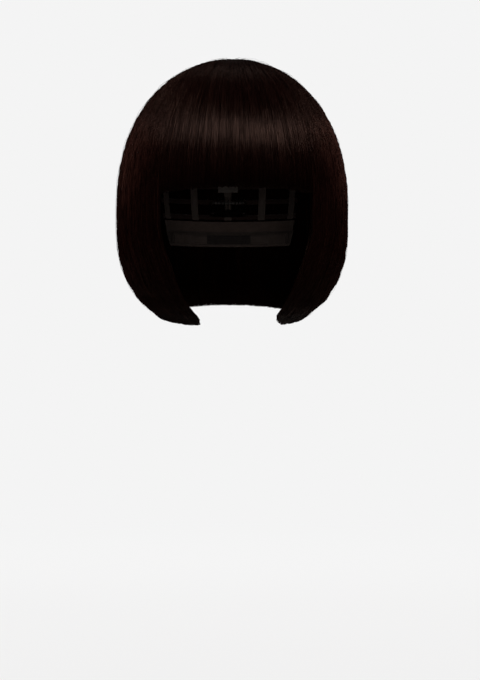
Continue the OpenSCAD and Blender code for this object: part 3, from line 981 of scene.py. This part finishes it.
def add_weft(name, azimuths, polar):
    """The sewn track of one weft, with a small bump for each bundle of fibres that is folded into it."""
    span = azimuths[1] - azimuths[0]
    columns = int(span * 1.4)
    bumps = RNG.uniform(-1, 1, columns + 1)

    def relief(u, v):
        return 0.00016 * bumps[None] * (0.4 + 0.6 * v) + 0.00010 * np.cos(6 * math.pi * v)

    polars = (fixed(polar - 1), fixed(polar + 1))
    strip(name, "track", "weft", azimuths, polars, WEFT_LAYER, columns, 12, "track", relief, edge=(200, 6))
    off = WEFT_LAYER[0] - 0.0001
    rows = [
        cap_row(azimuths, fixed(polar + shift), off, sway=sway, pitch=0.0022, length=0.0019)
        for shift, sway in ((-0.45, 0.0), (0.35, 0.0005))
    ]
    count = int(span * 3.2)
    root = RNG.uniform(azimuths[0] + 0.3, azimuths[1] - 0.3, count)
    s = np.linspace(0, 1, 5)[None]
    azimuth = root[:, None] + RNG.normal(0, 0.8, count)[:, None] * s
    drop = RNG.uniform(4.5, 7.5, count)[:, None]
    down = polar + 0.7 + drop * s
    off = mix(0.5 * sum(WEFT_LAYER), RNG.uniform(0.0042, 0.0052, count)[:, None], ease(s * 1.2))
    return rows, (cap_point(azimuth, down, off), cap_out(azimuth, down))


def add_wefts():
    placed = [("weft_crown_%d" % (i + 1), (4, 356), 26 + 12 * i) for i in range(2)]
    placed += [("weft_fringe_%d" % (i + 1), (-54, 54), 50 + 7 * i) for i in range(2)]
    for i in range(7):
        reach = TAB_AZIMUTH[0] if i < 3 else BACK_EDGE + 1
        placed.append(("weft_back_%d" % (i + 1), (reach, 360 - reach), 66 + 6.6 * i))
    rows, hairs = [], []
    for name, azimuths, polar in placed:
        more, hair = add_weft(name, azimuths, polar)
        rows += more
        hairs.append(hair)
    sew("weft_stitches", rows, slot="weft")
    paths, normals = (np.concatenate([h[k] for h in hairs]) for k in (0, 1))
    hair = add_tubes("weft_hair", paths, normals, 0.00016, hair_material("weft_hair"), flat=1.4)
    ride(hair, "root", "weft")


# ---- adjusters


def nape_point(angle, r, z):
    """A point on the adjusters' circle. angle is from the centre back towards +X."""
    a = np.radians(angle)
    return np.stack([r * np.sin(a), STRAP_CENTRE_Y + r * np.cos(a), z + 0 * a], -1)


def nape_strip(node, kind, body, slot, angles, radii, half_height, columns, rows, look, relief=None):
    """A closed strip of fabric round the nape in place of node."""
    u, v = np.meshgrid(soft_steps(columns), soft_steps(rows))
    angle, z = mix(angles[0], angles[1], u), STRAP_Z + half_height * (2 * v - 1)
    lift = relief(u, v) if relief else 0
    middle, half = thinned(u, v, radii, (60, 10))
    outer, inner = (nape_point(angle, middle + way * half + lift, z) for way in (1, -1))
    ride(add_shell(f"{node}_{kind}", outer, inner, LOOKS[look]), body, slot, node)


def strap_cords(u, v):
    return 0.00006 * np.cos(12 * math.pi * v)


def add_sleeve(name, angles, play, wall, look):
    """The sewn sleeve round a strap: a flattened tube with a puckered face, open at both ends."""
    steps, round_it = 40, 48
    t = np.linspace(0, 2 * math.pi, round_it, endpoint=False)

    def outline(grow):
        shape = 2 / 9
        r = (STRAP_T / 2 + grow) * np.sign(np.cos(t)) * np.abs(np.cos(t)) ** shape
        z = (STRAP_H / 2 + grow + 0.0002) * np.sign(np.sin(t)) * np.abs(np.sin(t)) ** shape
        return STRAP_R + STRAP_T / 2 + r, STRAP_Z + z

    angle = np.linspace(angles[0], angles[1], steps + 1)[:, None]
    pucker = 0.00007 * np.sin(np.radians(angle) * 90)
    rings = []
    for grow in (play + wall, play):
        r, z = outline(grow)
        rings.append(nape_point(angle + 0 * t, r[None] + (pucker if grow > play else 0 * pucker), z[None]))
    index = np.arange((steps + 1) * round_it).reshape(steps + 1, round_it)
    turn = np.roll(index, -1, axis=1)
    outer = np.stack([index[:-1], turn[:-1], turn[1:], index[1:]], -1).reshape(-1, 4)
    inner = outer[:, ::-1] + index.size
    first = np.stack([turn[0], index[0], index[0] + index.size, turn[0] + index.size], -1)
    last = np.stack([index[-1], turn[-1], turn[-1] + index.size, index[-1] + index.size], -1)
    faces = np.concatenate([outer, inner, first, last])
    along = np.radians(angle + 0 * t) * STRAP_R
    uv = np.stack([along, np.broadcast_to(t[None] / (2 * math.pi) * 0.022, along.shape)], -1).reshape(-1, 2)
    if angles[0] < 0:
        faces = faces[:, ::-1]
    points = np.concatenate([ring.reshape(-1, 3) for ring in rings])
    return add_mesh(name, points, [faces], [LOOKS[look]], uv[faces.ravel() % index.size])


def nape_row(angles, inset, r, z, **kind):
    """A row of stitches on the inner face of a strip round the nape, inset from the strip's two ends."""
    way = np.sign(angles[0])
    angle = np.linspace(angles[0] + way * inset, angles[1] - way * inset, 80)
    n = nape_point(angle, 0.0, 0.0) - nape_point(angle, 1.0, 0.0)
    return stitches(nape_point(angle, r, STRAP_Z + z), n, **kind)


HOOK_PITCH = 0.0009


def add_hooks(name, angles, r, body):
    """The hook tape's rows of small bent hooks."""
    long = math.radians(abs(angles[1] - angles[0])) * r
    a, z = np.meshgrid(
        np.linspace(angles[0], angles[1], int(long / HOOK_PITCH))[1:-1],
        STRAP_Z + np.linspace(-0.0030, 0.0030, 8),
    )
    a, z = a.ravel()[:, None], z.ravel()[:, None]
    bend = np.linspace(0, 1, 6)[None]
    lean = np.where(np.arange(len(a)) % 2, 1, -1)[:, None] * 0.00024
    path = nape_point(a + 0 * bend, r + 0.00028 * np.sin(bend * 2.4), z + lean * (1 - np.cos(bend * 2.4)))
    normals = np.broadcast_to([0.0, 0.0, 1.0], path.shape)
    piece = add_tubes(name, path, normals, 0.00007, LOOKS["loop_thread"], sides=4)
    return ride(piece, body, "hook_tape")


def add_loops(name, angles, r, count):
    """The loop tape's pile of small loops."""
    a = RNG.uniform(angles[0] + 1, angles[1] - 1, count)[:, None]
    z = STRAP_Z + RNG.uniform(-0.0035, 0.0035, count)[:, None]
    turn = RNG.uniform(0, math.pi, count)[:, None]
    bend = np.linspace(0, math.pi, 6)[None]
    reach = 0.00028 * np.cos(bend)
    path = nape_point(
        a + np.degrees(reach * np.cos(turn) / r), r - 0.00030 * np.sin(bend), z + reach * np.sin(turn),
    )
    normals = np.stack([np.cos(turn) + 0 * bend, np.sin(turn) + 0 * bend, 0.3 + 0 * turn * bend], -1)
    piece = add_tubes(name, path, normals, 0.00005, LOOKS["loop_thread"], sides=3)
    return ride(piece, "root", "loop_tape")


def add_adjusters():
    outer_r = STRAP_R + STRAP_T
    for side, name in ((1, "left"), (-1, "right")):
        strap, tab, channel = (
            tuple(side * a for a in angles) for angles in (STRAP_ANGLES, STRAP_TAB_ANGLES, CHANNEL_ANGLES)
        )
        body = f"strap_{name}"
        radii = (STRAP_R, outer_r)
        nape_strip(body, "webbing", body, "strap", strap, radii, STRAP_H / 2, 90, 40, "strap", strap_cords)
        radii, half_height = (outer_r, outer_r + 0.0004), STRAP_H / 2 - 0.0005
        nape_strip(f"strap_tab_{name}", "base", body, "hook_tape", tab, radii, half_height, 30, 16, "hook")
        add_hooks(f"strap_tab_{name}_hooks", tab, outer_r + 0.0004, body)
        rows = [nape_row(tab, 0.7, STRAP_R, z, pitch=0.0020, length=0.0013) for z in (-0.0029, 0.0029)]
        sew(f"{body}_stitches", rows, body, "strap")
        node = f"strap_channel_{name}"
        sleeve = add_sleeve(f"{node}_sleeve", channel, 0.0003, 0.0004, "elastic")
        ride(sleeve, "root", "elastic_tape", node)
        rows = [nape_row(channel, 1, STRAP_R - 0.0007, z) for z in (-0.0040, 0.0040)]
        sew(f"{node}_stitches", rows, slot="elastic_tape")
    radii = (outer_r + 0.00125, outer_r + 0.0017)
    nape_strip("loop_strip", "base", "root", "loop_tape", STRIP_ANGLES, radii, STRAP_H / 2, 70, 16, "loop")
    add_loops("loop_strip_pile", STRIP_ANGLES, outer_r + 0.00127, 2600)


def finish_metal():
    """Nodes that keep their shape take their materials here."""
    for name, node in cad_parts.items():
        if name.startswith("ear_stay"):
            look = "stay"
        elif name.startswith("comb_"):
            look = "silicone" if name.endswith("grip") else "comb"
        else:
            continue
        for place in node.material_slots:
            place.material = LOOKS[look]


def add_cap():
    add_crown()
    rows = add_front_band() + add_side(1) + add_side(-1) + add_nape() + add_label()
    sew("cap_stitches", rows)
    for side in (1, -1):
        add_ear_tab(side)
    add_wefts()
    add_adjusters()
    finish_metal()


# ---- light and stage

PALE = (0.905, 0.905, 0.905)
FLOOR_Z = -0.404
FLOOR_HALF = 60.0
WHITE = (1, 1, 1)
RIM_RED = (1.0, 0.45, 0.36)

# Each light's name, place, size, power and colour, and whether it is reflected
LIGHTS = [
    ("key", (0, -1.17, 1.32), (2.2, 0.50), 8, WHITE, True),
    ("key_left", (-1.25, -0.85, 1.32), (1.1, 0.50), 3.3, WHITE, True),
    ("key_right", (1.25, -0.85, 1.32), (1.1, 0.50), 4.5, WHITE, True),
    ("warm", (1.0, -0.85, 1.15), (0.4, 0.4), 0.8, (1.0, 0.7, 0.4), True),
    ("back_light", (0, 0.75, 1.55), (1.0, 0.60), 0.42, (1.0, 0.8, 0.7), True),
    ("rim_left", (-1.6, 0.6, 0.6), (0.7, 0.9), 1.5, RIM_RED, True),
    ("rim_right", (1.6, 0.6, 0.6), (0.7, 0.9), 1.8, RIM_RED, True),
    ("back_fill", (0, 2.0, 0.5), (1.5, 0.8), 40, WHITE, False),
    ("left_fill", (-2.0, 1.1, 0.5), (0.8, 0.8), 30, WHITE, False),
    ("right_fill", (2.0, 1.1, 0.5), (0.8, 0.8), 30, WHITE, False),
    ("inside_fill", (0, -2.0, -0.3), (0.8, 0.8), 5, WHITE, False),
]


def add_light(name, place, size, power, colour, gloss):
    """A light that faces the wig."""
    data = bpy.data.lights.new(name, "AREA")
    data.shape = "RECTANGLE"
    data.size, data.size_y = size
    data.energy = power
    data.color = colour
    light = bpy.data.objects.new(name, data)
    light.visible_glossy = gloss
    light.location = place
    light.rotation_euler = (Vector((0, 0, -0.01)) - Vector(place)).to_track_quat("-Z", "Y").to_euler()
    bpy.context.scene.collection.objects.link(light)


def seen_or_lit(tree, seen, lit, output):
    """Camera rays see one shader, and every other ray meets the other."""
    path = add_node(tree, "LightPath")
    both = add_node(tree, "MixShader", Fac=path.outputs["Is Camera Ray"])
    tree.links.new(lit, both.inputs[1])
    tree.links.new(seen, both.inputs[2])
    put(tree, tree.nodes[output], Surface=both.outputs["Shader"])


def add_stage():
    """The camera sees a pale surround, but it lights the wig only a little, so that the hair stays dark."""
    world = bpy.data.worlds.new("studio")
    bpy.context.scene.world = world
    world.use_nodes = True
    tree = world.node_tree
    seen = tree.nodes["Background"]
    put(tree, seen, Color=PALE)
    fill = add_node(tree, "Background", Color=(1.0, 0.9, 0.85), Strength=0.03)
    seen_or_lit(tree, seen.outputs["Background"], fill.outputs["Background"], "World Output")
    add_floor()
    for light in LIGHTS:
        add_light(*light)
    bpy.context.scene.view_settings.view_transform = "Standard"


def add_floor():
    """A pale floor that meets the background without a line, and takes a soft shadow near the middle."""
    material, tree, shader = new_material("floor")
    put(tree, shader, Base_Color=(0.75, 0.75, 0.75), Roughness=1, Specular_IOR_Level=0)
    glow = add_node(tree, "Emission", Color=PALE)
    reach = add_node(tree, "VectorMath")
    reach.operation = "LENGTH"
    tree.links.new(add_node(tree, "TexCoord").outputs["Object"], reach.inputs[0])
    fade = add_node(tree, "MapRange", Value=reach.outputs["Value"], From_Max=1.3, To_Min=0.86)
    fade.interpolation_type = "SMOOTHSTEP"
    seen = add_node(tree, "MixShader", Fac=fade.outputs["Result"])
    tree.links.new(shader.outputs["BSDF"], seen.inputs[1])
    tree.links.new(glow.outputs["Emission"], seen.inputs[2])
    dim = add_node(tree, "BsdfDiffuse", Color=(0.08, 0.07, 0.065))
    seen_or_lit(tree, seen.outputs["Shader"], dim.outputs["BSDF"], "Material Output")
    corners = ((-1, -1), (1, -1), (1, 1), (-1, 1))
    points = np.array([(x * FLOOR_HALF, y * FLOOR_HALF, FLOOR_Z) for x, y in corners])
    add_mesh("floor", points, [np.array([[0, 1, 2, 3]])], [material])


add_camera()
add_stage()
add_cap()
add_hair()
